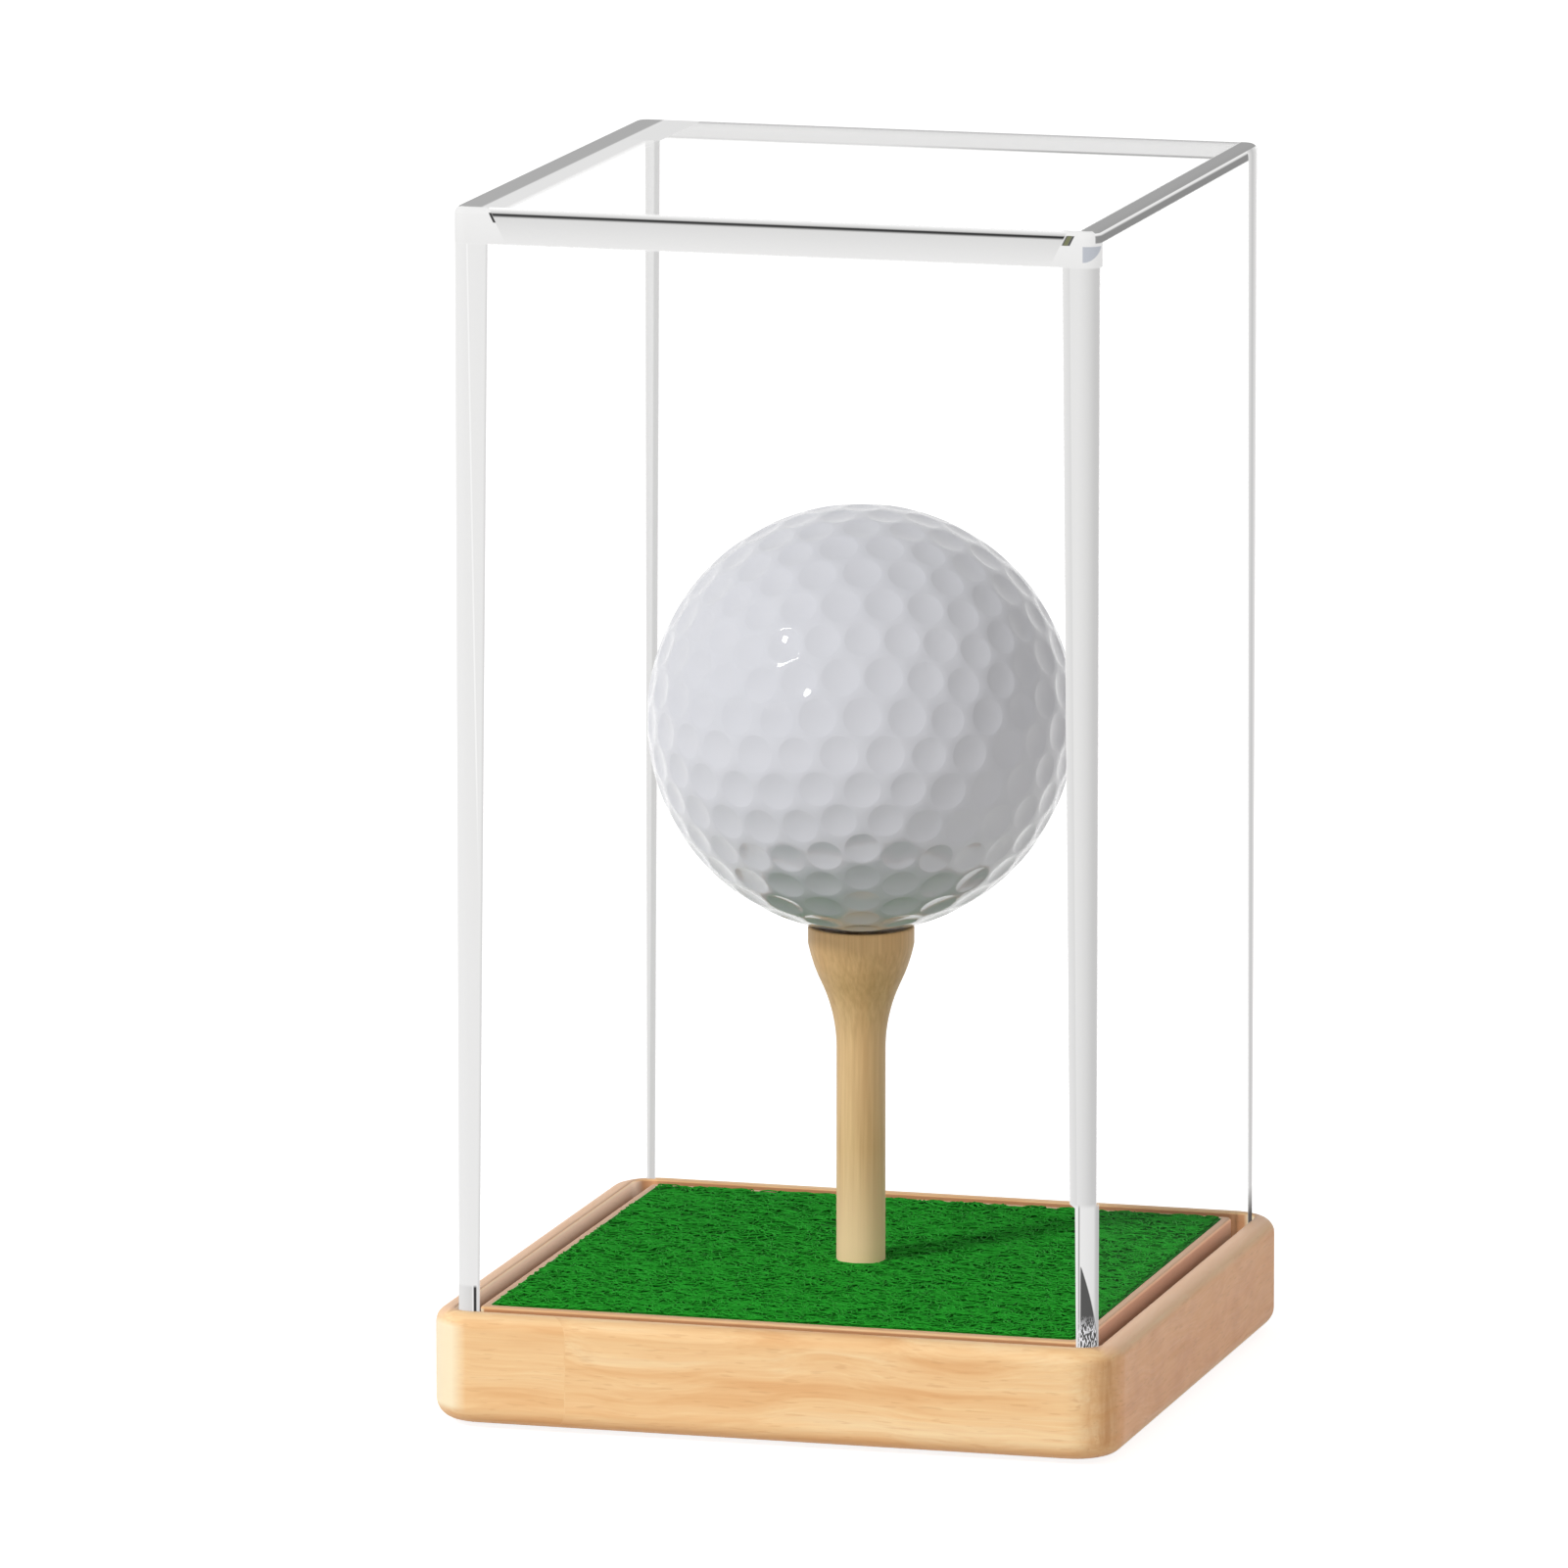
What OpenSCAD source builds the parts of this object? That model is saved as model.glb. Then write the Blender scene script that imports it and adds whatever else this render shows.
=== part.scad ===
// Display case for one golf ball: a milled wooden base with a turf mat and a short tee, the ball on the
// tee, and a clear moulded cover that stands in a groove round the mat.
// Millimetres, +Z up. The origin is the middle of the case on the surface that it stands on.

/* [Ball] */
// Diameter of the ball
ball_d = 42.67; // [41:0.01:44]
// Thickness of the ball's moulded skin over its core
skin_t = 1.9; // [1:0.1:3]
// Diameter of the largest dimples
dimple_d = 3.9; // [3:0.1:4.2]
// Depth of a dimple below the ball's round surface
dimple_depth = 0.25; // [0.15:0.05:0.35]
// Least width of the land between two dimples
land_w = 0.3; // [0.2:0.05:0.8]
// Rows of dimples along each edge of the icosahedron that lays them out
dimple_rows = 6; // [3:1:7]
// Turn of the dimple pattern about the front-to-back axis, in degrees
pattern_tilt = 58.7; // [0:0.1:90]
// Turn of the dimple pattern about the upright axis, in degrees
pattern_turn = -74.4; // [-180:0.1:180]

/* [Tee] */
// Length of the tee
tee_len = 42; // [38:0.5:50]
// Diameter of its shaft
shaft_d = 4.9; // [4:0.1:5.5]
// Diameter of its head
head_d = 10.6; // [9.5:0.1:12]
// Height of the upright band round the head
head_band = 1.7; // [1:0.1:3]
// Width of the rounded lip round the cup
cup_lip = 0.45; // [0.3:0.05:0.8]
// Depth of the cup in the head
cup_depth = 1.3; // [1:0.1:2]
// Radius of the hollow curve from shaft to flare
throat_r = 15.7; // [12:0.1:20]
// Slope of the flare at its steepest, in degrees from upright
flare_angle = 25.6; // [20:0.1:30]
// Slope of the flare where it meets the head, in degrees from upright
shoulder_angle = 11; // [5:0.5:18]
// Length of the tee below the top of the base
tee_sunk = 7.85; // [5:0.05:8.5]
// Chamfer at the foot of the tee
tee_chamfer = 0.5; // [0.2:0.1:1]
// Clearance round the tee in its hole
tee_fit = 0.03; // [0.01:0.01:0.1]
// Clearance below the tee in its hole
tee_floor_gap = 0.2; // [0.1:0.1:1]
// Gap between the ball and the lip that it sits on
ball_gap = 0.15; // [0.1:0.05:0.5]

/* [Clear cover] */
// Outer width of the cover, the same both ways
cover_w = 65; // [60:0.5:75]
// Height of the cover
cover_h = 113.6; // [108:0.1:125]
// Wall thickness at the open end
wall_open = 1.65; // [1.4:0.05:2.5]
// Draft of the inside walls, in degrees
wall_draft = 0.65; // [0.3:0.05:0.9]
// Thickness of the top
top_t = 3; // [2:0.1:4]
// Radius of the upright outer edges
cover_corner_r = 1.5; // [1:0.1:3]
// Radius of the outer edge round the top
cover_top_r = 0.8; // [0.4:0.1:1]
// Radius of the inside edges
cover_inner_r = 0.9; // [0.5:0.1:1.2]

/* [Wooden base] */
// Height of the wooden block
block_h = 11.1; // [9:0.1:16]
// Width of the rim outside the groove
rim_w = 2.25; // [2.1:0.05:5]
// Radius of the upright corners
block_corner_r = 5; // [3:0.1:8]
// Radius of the outer top edge
block_top_r = 1.5; // [0.5:0.1:1.8]
// Radius of the outer bottom edge
block_bottom_r = 2; // [0.5:0.1:3]
// Depth of the groove for the cover
groove_depth = 4; // [2:0.1:5]
// Clearance between the cover and each side of the groove
groove_gap = 0.25; // [0.1:0.05:0.5]
// Radius of the worn edge round the plateau inside the groove
plateau_edge_r = 0.35; // [0.1:0.05:0.5]

/* [Turf mat] */
// Width of the wooden lip round the mat
mat_lip = 0.8; // [0.5:0.1:5]
// Clearance round the mat in its pocket
mat_gap = 0.1; // [0.05:0.05:0.5]
// Thickness of the tape under the mat
tape_t = 0.15; // [0.1:0.05:0.5]
// Thickness of the mat's woven backing
backing_t = 0.35; // [0.2:0.05:1]
// Height of the pile
pile_h = 0.6; // [0.4:0.1:2]
// How far the pile stands above the base
pile_proud = 0.1; // [0:0.05:0.5]
// Clearance round the tee where it passes through the mat
tee_hole_gap = 0.15; // [0.1:0.05:0.6]
// Margin of bare backing round the tape
tape_margin = 2; // [1:0.5:6]

/* [Pads] */
// Diameter of a non-slip pad
pad_d = 9; // [6:0.5:12]
// Thickness of a pad
pad_t = 1; // [0.8:0.1:2]
// How deep a pad is let into the base
pad_sunk = 0.5; // [0.3:0.1:0.7]
// Clearance round a pad in its recess
pad_gap = 0.1; // [0.05:0.05:0.4]
// Distance from the side of the base to the middle of a pad
pad_inset = 11; // [9:0.5:20]

/* [Hidden] */
$fn = 96;
over = 1;
hull_fn = 32;
arc_steps = 8;

block_z = pad_t - pad_sunk;
base_top = block_z + block_h;
groove_z = base_top - groove_depth;
groove_outer = cover_w / 2 + groove_gap;
plateau_half = cover_w / 2 - wall_open - groove_gap;
base_half = groove_outer + rim_w;
plateau_corner_r = max(cover_inner_r - groove_gap, plateau_edge_r + 0.1);

mat_half = plateau_half - mat_lip - mat_gap;
mat_t = tape_t + backing_t + pile_h;
pocket_z = base_top + pile_proud - mat_t;
pocket_corner_r = 0.5;

tee_foot = base_top - tee_sunk;
tee_top = tee_foot + tee_len;
cup_r = head_d / 2 - cup_lip;
cup_sphere_r = (cup_r * cup_r + cup_depth * cup_depth) / (2 * cup_depth);

ball_r = ball_d / 2;
ball_z = tee_top + sqrt(ball_r * ball_r - cup_r * cup_r) + ball_gap;

cavity_h = cover_h - top_t;
cavity_open = cover_w / 2 - wall_open;
cavity_top = cavity_open - cavity_h * tan(wall_draft);

pad_at = base_half - pad_inset;

// The dimples lie at the corners of an icosahedron, along its edges and across its faces.
golden = (1 + sqrt(5)) / 2;
corners = [for (a = [-1, 1], b = [-golden, golden]) each [[0, a, b], [a, b, 0], [b, 0, a]]];
edge_len = 2;
function beside(i, j) = norm(corners[i] - corners[j]) < 1.1 * edge_len;
edges = [for (i = [0:10], j = [i + 1:11]) if (beside(i, j)) [i, j]];
faces = [
    for (e = edges, k = [e[1] + 1:1:11])
        if (beside(e[0], k) && beside(e[1], k)) [e[0], e[1], k]
];
edge_arc = 2 * asin(edge_len / 2 / norm(corners[0]));
step_arc = edge_arc / dimple_rows;
function unit(v) = v / norm(v);
function share(corner, steps) = sin(steps * step_arc) * corners[corner];
dimples = concat(
    [for (corner = corners) unit(corner)],
    [
        for (e = edges, i = [1:dimple_rows - 1])
            unit(share(e[0], i) + share(e[1], dimple_rows - i))
    ],
    [
        for (f = faces, i = [1:1:dimple_rows - 2], j = [1:1:dimple_rows - 1 - i])
            unit(share(f[0], i) + share(f[1], j) + share(f[2], dimple_rows - i - j))
    ]
);
function nearest(p) = min([for (q = dimples) if (p != q) norm(p - q)]) * ball_r;

// The outline of a block's side: a band from the corner's axis out to the face, with rounded edges.
module side_outline(reach, h, top_r, bottom_r) {
    intersection() {
        square([reach, h]);
        union() {
            translate([0, bottom_r])
                square([reach, h - bottom_r - top_r]);
            if (top_r > 0)
                rounded_edge(reach - top_r, h - top_r, top_r, top_r);
            if (bottom_r > 0)
                rounded_edge(reach - bottom_r, bottom_r, bottom_r, 0);
        }
    }
}

// The part of a side's outline level with one rounded edge: its middle, its radius and where its band ends.
module rounded_edge(x, z, r, rise) {
    translate([0, z + rise - r])
        square([x, r]);
    translate([x, z])
        circle(r = r);
}

// A square block on z = 0 with round upright corners and rounded top and bottom edges.
module rounded_block(half, h, corner_r, top_r = 0, bottom_r = 0) {
    straight = half - corner_r;
    translate([-straight, -straight, 0])
        cube([2 * straight, 2 * straight, h]);
    for (turn = [0:90:270])
        rotate([0, 0, turn])
            translate([straight, straight, 0]) {
                rotate_extrude()
                    side_outline(corner_r, h, top_r, bottom_r);
                rotate([90, 0, 0])
                    linear_extrude(height = 2 * straight)
                        side_outline(corner_r, h, top_r, bottom_r);
            }
}

// The groove's outer wall, open at the top, round the plateau that stays standing.
module groove() {
    difference() {
        translate([0, 0, groove_z])
            rounded_block(groove_outer, groove_depth + over, cover_corner_r + groove_gap);
        translate([0, 0, groove_z - over])
            rounded_block(plateau_half, groove_depth + over, plateau_corner_r, plateau_edge_r);
    }
}

module pad_places() {
    for (x = [-pad_at, pad_at], y = [-pad_at, pad_at])
        translate([x, y, 0])
            children();
}

module wood_base() {
    color("burlywood")
        difference() {
            translate([0, 0, block_z])
                rounded_block(base_half, block_h, block_corner_r, block_top_r, block_bottom_r);
            groove();
            translate([0, 0, pocket_z])
                rounded_block(mat_half + mat_gap, base_top - pocket_z + over, pocket_corner_r);
            translate([0, 0, tee_foot - tee_floor_gap])
                cylinder(d = shaft_d + 2 * tee_fit, h = tee_len);
            pad_places()
                cylinder(d = pad_d + 2 * pad_gap, h = pad_t);
        }
}

module pad(x_side, y_side) {
    color("dimgray")
        translate([x_side * pad_at, y_side * pad_at, 0])
            cylinder(d = pad_d, h = pad_t);
}

// One layer of the turf mat, with the hole that the tee passes through.
module mat_layer(half, z, t) {
    difference() {
        translate([0, 0, z])
            rounded_block(half, t, pocket_corner_r);
        translate([0, 0, z - over])
            cylinder(d = shaft_d + 2 * tee_hole_gap, h = t + 2 * over);
    }
}

module turf_tape() {
    color("ivory")
        mat_layer(mat_half - tape_margin, pocket_z, tape_t);
}

module turf_backing() {
    color("darkgreen")
        mat_layer(mat_half, pocket_z + tape_t, backing_t);
}

module turf_pile() {
    color("forestgreen")
        mat_layer(mat_half, pocket_z + tape_t + backing_t, pile_h);
}

// Points on an arc about the given middle, from one angle to the other.
function arc(middle, r, from, to) = [
    for (i = [0:arc_steps])
        let (angle = from + (to - from) * i / arc_steps)
            middle + r * [cos(angle), sin(angle)]
];

// The tee turned about its axis: foot, shaft, hollow throat, rounded shoulder and the band round the head.
module tee() {
    shaft_r = shaft_d / 2;
    head_r = head_d / 2;
    band_z = tee_len - head_band;
    throat_rise = throat_r * sin(flare_angle);
    throat_out = throat_r * (1 - cos(flare_angle));
    shoulder_r = (head_r - shaft_r - throat_out) / (cos(shoulder_angle) - cos(flare_angle));
    shoulder_rise = shoulder_r * (sin(flare_angle) - sin(shoulder_angle));
    throat_z = band_z - shoulder_rise - throat_rise;
    throat = arc([shaft_r + throat_r, throat_z], throat_r, 180, 180 - flare_angle);
    shoulder = arc(
        [head_r - shoulder_r * cos(shoulder_angle), band_z - shoulder_rise - shoulder_r * -sin(flare_angle)],
        shoulder_r, -flare_angle, -shoulder_angle
    );
    lip = arc([head_r - cup_lip / 2, tee_len - cup_lip / 2], cup_lip / 2, 0, 90);
    color("tan")
        translate([0, 0, tee_foot])
            difference() {
                rotate_extrude()
                    polygon(concat(
                        [[0, 0], [shaft_r - tee_chamfer, 0], [shaft_r, tee_chamfer]],
                        throat, shoulder, lip, [[0, tee_len]]
                    ));
                translate([0, 0, tee_len - cup_depth + cup_sphere_r])
                    sphere(r = cup_sphere_r);
            }
}

module ball_core() {
    color("gold")
        translate([0, 0, ball_z])
            sphere(r = ball_r - skin_t);
}

// The cutter for one dimple, a lens on the ball's surface straight above its middle.
module dimple(width) {
    rim_r = width / 2;
    rim_z = sqrt(ball_r * ball_r - rim_r * rim_r);
    floor_z = ball_r - dimple_depth;
    sag = rim_z - floor_z;
    hollow_r = (rim_r * rim_r + sag * sag) / (2 * sag);
    intersection() {
        translate([0, 0, floor_z + hollow_r])
            sphere(r = hollow_r);
        translate([0, 0, floor_z - over])
            cylinder(r = rim_r + land_w / 4, h = 2 * over);
    }
}

module ball_skin() {
    color("white")
        translate([0, 0, ball_z])
            rotate([0, pattern_tilt, pattern_turn])
                difference() {
                    sphere(r = ball_r);
                    for (p = dimples)
                        rotate([0, acos(p.z), atan2(p.y, p.x)])
                            dimple(min(dimple_d, nearest(p) - land_w));
                    sphere(r = ball_r - skin_t);
                }
}

// The room inside the cover: it narrows upwards by the draft, and all its inside edges are round.
module cavity() {
    low = cavity_open + over * tan(wall_draft) - cover_inner_r;
    high = cavity_top - cover_inner_r;
    hull() {
        for (x = [-1, 1], y = [-1, 1]) {
            translate([x * low, y * low, -over])
                cylinder(r = cover_inner_r, h = over / 10, $fn = hull_fn);
            translate([x * high, y * high, cavity_h - cover_inner_r])
                sphere(r = cover_inner_r, $fn = hull_fn);
        }
    }
}

module clear_cover() {
    color("lightcyan", 0.35)
        translate([0, 0, groove_z])
            difference() {
                rounded_block(cover_w / 2, cover_h, cover_corner_r, cover_top_r);
                cavity();
            }
}

module pad_front_left() { pad(-1, -1); }
module pad_front_right() { pad(1, -1); }
module pad_back_left() { pad(-1, 1); }
module pad_back_right() { pad(1, 1); }

wood_base();
pad_front_left();
pad_front_right();
pad_back_left();
pad_back_right();
turf_tape();
turf_backing();
turf_pile();
tee();
ball_core();
ball_skin();
clear_cover();
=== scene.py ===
# Golf ball display case: wooden base, turf mat, tee, dimpled ball and clear cover.
import bpy
import bmesh
import math
import random
from mathutils import Matrix, Vector


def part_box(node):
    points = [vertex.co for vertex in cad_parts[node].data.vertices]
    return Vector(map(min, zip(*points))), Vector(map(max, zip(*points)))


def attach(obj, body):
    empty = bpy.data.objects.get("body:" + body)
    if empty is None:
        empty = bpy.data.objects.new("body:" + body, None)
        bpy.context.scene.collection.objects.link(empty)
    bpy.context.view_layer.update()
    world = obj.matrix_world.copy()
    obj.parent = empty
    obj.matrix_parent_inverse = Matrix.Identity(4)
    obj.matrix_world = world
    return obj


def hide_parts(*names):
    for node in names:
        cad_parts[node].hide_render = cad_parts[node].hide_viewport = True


mm = 0.001
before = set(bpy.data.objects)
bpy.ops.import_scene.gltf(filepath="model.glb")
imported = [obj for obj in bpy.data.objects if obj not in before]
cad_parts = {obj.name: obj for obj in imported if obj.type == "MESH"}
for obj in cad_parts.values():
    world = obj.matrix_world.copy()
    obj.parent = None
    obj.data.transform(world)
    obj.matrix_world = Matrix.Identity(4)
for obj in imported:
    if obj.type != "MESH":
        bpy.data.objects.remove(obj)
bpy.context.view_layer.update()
print("frame loaded, nodes:", len(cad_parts))


def span(name):
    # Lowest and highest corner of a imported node, in mm.
    low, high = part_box(name)
    return low / mm, high / mm


def srgb(red, green, blue):
    # A colour as a screen shows it, 0 to 255, made linear for a shader.
    def linear(level):
        return ((level / 255 + 0.055) / 1.055) ** 2.4 if level > 10 else level / 255 / 12.92

    return linear(red), linear(green), linear(blue), 1


# Camera, floor and light

cameraSet = {
    "turn": 15.617,        # degrees round the object, towards +X
    "height": 10.351,      # degrees above the horizon
    "distance": 1530.7,    # mm
    "lens": 353.9,
    "aim": (-7.4, -2.05, 60.01),
}

stageSet = {
    "floorWidth": 16000,                     # mm
    "floorColour": (0.54, 0.54, 0.54, 1),
    "floorGlow": 0.86,                       # lifts the lit floor to white where it is seen
    "worldLight": (0.41, 0.53),              # what the world gives from the right and from the left
    "worldTop": 0.7,                         # share of it that comes from straight above
    "lamps": [                               # name, place and width in mm, watts, colour, seen in gloss
        ("keyLamp", (-606, -816, 802), 190, 6.7, (1.0, 0.98, 0.95), False),
        ("frontLamp", (-330, -1220, 60), 500, 4.6, (1.0, 0.99, 0.98), False),
        ("sideLamp", (1080, -260, 30), 300, 2.4, (1.0, 0.9, 0.78), False),
        ("glintLamp", (-612, -824, 810), 115, 1.6, (1.0, 0.99, 0.98), True),
    ],
}


def makeCamera(setup):
    turn, height = math.radians(setup["turn"]), math.radians(setup["height"])
    level = math.cos(height)
    back = Vector((math.sin(turn) * level, -math.cos(turn) * level, math.sin(height)))
    data = bpy.data.cameras.new("camera")
    data.lens = setup["lens"]
    data.sensor_width = 36
    data.clip_start, data.clip_end = 0.01, 30
    camera = bpy.data.objects.new("camera", data)
    camera.location = (Vector(setup["aim"]) + back * setup["distance"]) * mm
    camera.rotation_mode = "QUATERNION"
    camera.rotation_quaternion = (-back).to_track_quat("-Z", "Y")
    bpy.context.scene.collection.objects.link(camera)
    bpy.context.scene.camera = camera


def makeLamp(name, place, width, watts, colour, inGloss):
    data = bpy.data.lights.new(name, "AREA")
    data.size = width * mm
    data.energy = watts
    data.color = colour
    lamp = bpy.data.objects.new(name, data)
    lamp.location = Vector(place) * mm
    lamp.rotation_mode = "QUATERNION"
    towards = Vector((0, 0, 50 * mm)) - lamp.location
    lamp.rotation_quaternion = towards.to_track_quat("-Z", "Y")
    lamp.visible_glossy = inGloss
    bpy.context.scene.collection.objects.link(lamp)


# Shader helpers

def newMaterial(name):
    material = bpy.data.materials.new(name)
    material.use_nodes = True
    return material, material.node_tree, material.node_tree.nodes["Principled BSDF"]


def setSocket(tree, socket, value):
    # Links an output to a socket, or writes a plain value on it.
    if isinstance(value, bpy.types.NodeSocket):
        tree.links.new(value, socket)
    else:
        socket.default_value = value


def addMath(tree, operation, *values):
    node = tree.nodes.new("ShaderNodeMath")
    node.operation = operation
    for socket, value in zip(node.inputs, values):
        setSocket(tree, socket, value)
    return node.outputs[0]


def times(tree, first, *others):
    for other in others:
        first = addMath(tree, "MULTIPLY", first, other)
    return first


def addMix(tree, factor, first, second, blend="MIX"):
    node = tree.nodes.new("ShaderNodeMix")
    node.data_type = "RGBA"
    node.blend_type = blend
    for socket, value in zip((node.inputs[0], node.inputs[6], node.inputs[7]), (factor, first, second)):
        setSocket(tree, socket, value)
    return node.outputs[2]


def addRamp(tree, factor, stops):
    node = tree.nodes.new("ShaderNodeValToRGB")
    elements = node.color_ramp.elements
    while len(elements) < len(stops):
        elements.new(1)
    for element, (position, colour) in zip(elements, stops):
        element.position = position
        element.color = colour
    tree.links.new(factor, node.inputs[0])
    return node.outputs[0]


def addRange(tree, value, low, high, newLow=0.0, newHigh=1.0):
    node = tree.nodes.new("ShaderNodeMapRange")
    for socket, number in zip(node.inputs, (value, low, high, newLow, newHigh)):
        setSocket(tree, socket, number)
    return node.outputs[0]


def addNoise(tree, place, scale, detail=2.0, roughness=0.5, distortion=0.0):
    node = tree.nodes.new("ShaderNodeTexNoise")
    tree.links.new(place, node.inputs["Vector"])
    node.inputs["Scale"].default_value = scale
    node.inputs["Detail"].default_value = detail
    node.inputs["Roughness"].default_value = roughness
    node.inputs["Distortion"].default_value = distortion
    return node.outputs[0]


def stretched(tree, place, scale, shift=(0, 0, 0), turn=(0, 0, 0)):
    # The place scaled along each axis, which draws a pattern out along the small ones.
    node = tree.nodes.new("ShaderNodeMapping")
    tree.links.new(place, node.inputs["Vector"])
    node.inputs["Location"].default_value = shift
    node.inputs["Rotation"].default_value = turn
    node.inputs["Scale"].default_value = scale
    return node.outputs[0]


def addBump(tree, height, strength, distance):
    node = tree.nodes.new("ShaderNodeBump")
    node.inputs["Strength"].default_value = strength
    node.inputs["Distance"].default_value = distance * mm
    tree.links.new(height, node.inputs["Height"])
    return node.outputs[0]


def newGroup(name, inputs, outputs):
    group = bpy.data.node_groups.new(name, "ShaderNodeTree")
    for label, kind, value in inputs:
        socket = group.interface.new_socket(name=label, in_out="INPUT", socket_type="NodeSocket" + kind)
        if value is not None:
            socket.default_value = value
    for label, kind in outputs:
        group.interface.new_socket(name=label, in_out="OUTPUT", socket_type="NodeSocket" + kind)
    return group, group.nodes.new("NodeGroupInput").outputs, group.nodes.new("NodeGroupOutput").inputs


def useGroup(tree, group, **values):
    node = tree.nodes.new("ShaderNodeGroup")
    node.node_tree = group
    for label, value in values.items():
        setSocket(tree, node.inputs[label], value)
    return node.outputs


def seenDirectly(tree):
    # 1 for the rays that show the background: camera, glossy and transmission rays.
    path = tree.nodes.new("ShaderNodeLightPath").outputs
    seen = addMath(tree, "MAXIMUM", path["Is Camera Ray"], path["Is Glossy Ray"])
    return addMath(tree, "MAXIMUM", seen, path["Is Transmission Ray"])


def makeWorld(setup):
    world = bpy.data.worlds.new("studio")
    bpy.context.scene.world = world
    world.use_nodes = True
    tree = world.node_tree
    background = tree.nodes["Background"]
    white = (1, 1, 1, 1)
    way = tree.nodes.new("ShaderNodeSeparateXYZ")
    tree.links.new(tree.nodes.new("ShaderNodeTexCoord").outputs["Generated"], way.inputs[0])
    right, left = setup["worldLight"]
    level = addRange(tree, way.outputs[0], -0.8, 0.8, left, right)
    level = times(tree, level, addRange(tree, way.outputs[2], 0.15, 0.9, 1.0, setup["worldTop"]))
    tree.links.new(addMix(tree, seenDirectly(tree), level, white), background.inputs["Color"])


def makeFloor(setup):
    bm = bmesh.new()
    bmesh.ops.create_grid(bm, x_segments=1, y_segments=1, size=setup["floorWidth"] / 2 * mm)
    mesh = bpy.data.meshes.new("studioFloor")
    bm.to_mesh(mesh)
    bm.free()
    floor = bpy.data.objects.new("studioFloor", mesh)
    bpy.context.scene.collection.objects.link(floor)
    material, tree, shader = newMaterial("studioFloor")
    shader.inputs["Base Color"].default_value = setup["floorColour"]
    shader.inputs["Roughness"].default_value = 1
    shader.inputs["Specular IOR Level"].default_value = 0
    shader.inputs["Emission Color"].default_value = (1, 1, 1, 1)
    glow = times(tree, seenDirectly(tree), setup["floorGlow"])
    tree.links.new(glow, shader.inputs["Emission Strength"])
    mesh.materials.append(material)


makeCamera(cameraSet)
for lamp in stageSet["lamps"]:
    makeLamp(*lamp)
makeWorld(stageSet)
makeFloor(stageSet)
scene = bpy.context.scene
scene.view_settings.view_transform = "Standard"
print("stage ready")


# Mesh helpers

def newPiece(name, bm, body, material, sharpAngle=40, weighted=False):
    # Makes a finished piece of a bmesh, in metres, and lets it ride on a body.
    bmesh.ops.remove_doubles(bm, verts=bm.verts, dist=0.0005 * mm)
    bmesh.ops.recalc_face_normals(bm, faces=bm.faces)
    for face in bm.faces:
        face.smooth = True
    for edge in bm.edges:
        if edge.calc_face_angle(0) > math.radians(sharpAngle):
            edge.smooth = False
    mesh = bpy.data.meshes.new(name)
    bm.to_mesh(mesh)
    bm.free()
    return finishPiece(bpy.data.objects.new(name, mesh), body, material, weighted)


def finishPiece(piece, body, material, weighted=False):
    bpy.context.scene.collection.objects.link(piece)
    piece.data.materials.clear()
    piece.data.materials.append(material)
    if weighted:
        normals = piece.modifiers.new("flatFaces", "WEIGHTED_NORMAL")
        normals.keep_sharp = True
    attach(piece, body)
    return piece


def roundSquare(bm, half, corner, z, steps):
    # A level rounded square as a closed loop of edges: half its width, its corner radius and its height.
    sheet = bmesh.ops.create_grid(bm, x_segments=1, y_segments=1, size=half * mm)
    face = sheet["verts"][0].link_faces[0]
    bmesh.ops.translate(bm, verts=sheet["verts"], vec=(0, 0, z * mm))
    before = set(bm.edges) - set(face.edges)
    bmesh.ops.bevel(
        bm, geom=sheet["verts"], offset=max(corner, 0.01) * mm, affect="VERTICES", segments=steps,
        profile=0.5, material=-1,
    )
    ring = [edge for edge in bm.edges if edge not in before]
    bmesh.ops.delete(bm, geom=ring[0].link_faces[:], context="FACES_ONLY")
    return ring


def circleLoop(bm, radius, z, segments, at=(0, 0)):
    place = Matrix.Translation((at[0] * mm, at[1] * mm, z * mm))
    made = bmesh.ops.create_circle(bm, segments=segments, radius=radius * mm, matrix=place)
    return list({edge for vert in made["verts"] for edge in vert.link_edges})


def bridge(bm, loops):
    # Joins a row of loops. A loop that is level with the one before is lifted while they join,
    # or the faces cross over.
    for low, high in zip(loops, loops[1:]):
        verts = list({vert for edge in high for vert in edge.verts})
        level = abs(verts[0].co.z - low[0].verts[0].co.z) < 0.01 * mm
        lift = Vector((0, 0, mm if level else 0))
        bmesh.ops.translate(bm, verts=verts, vec=lift)
        bmesh.ops.bridge_loops(bm, edges=low + high)
        bmesh.ops.translate(bm, verts=verts, vec=-lift)


def roundEdge(half, corner, z, radius, fromAngle, toAngle, steps):
    # Rings round an edge that is rounded about (half, z): rows of half width, corner radius, height.
    rows = []
    for i in range(steps + 1):
        angle = math.radians(fromAngle + (toAngle - fromAngle) * i / steps)
        out = radius * math.cos(angle)
        rows.append((half + out, corner + out, z + radius * math.sin(angle)))
    return rows


# Wooden base

baseSet = {
    "corner": 5,            # radius of the upright corners, mm
    "bottomEdge": 2,
    "topEdge": 1.5,
    "rim": 2.25,            # width of the rim outside the groove
    "rimInnerEdge": 0.25,
    "grooveDepth": 4,
    "grooveCorner": 1.75,
    "plateauHalf": 30.6,
    "plateauCorner": 0.65,
    "plateauEdge": 0.35,
    "pocketHalf": 29.8,
    "pocketCorner": 0.5,
    "teeHole": 2.48,        # radius
    "holeBelowTee": 0.2,
    "padGap": 0.1,
    "padSunk": 0.5,
    "cornerSteps": 10,
}


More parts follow.
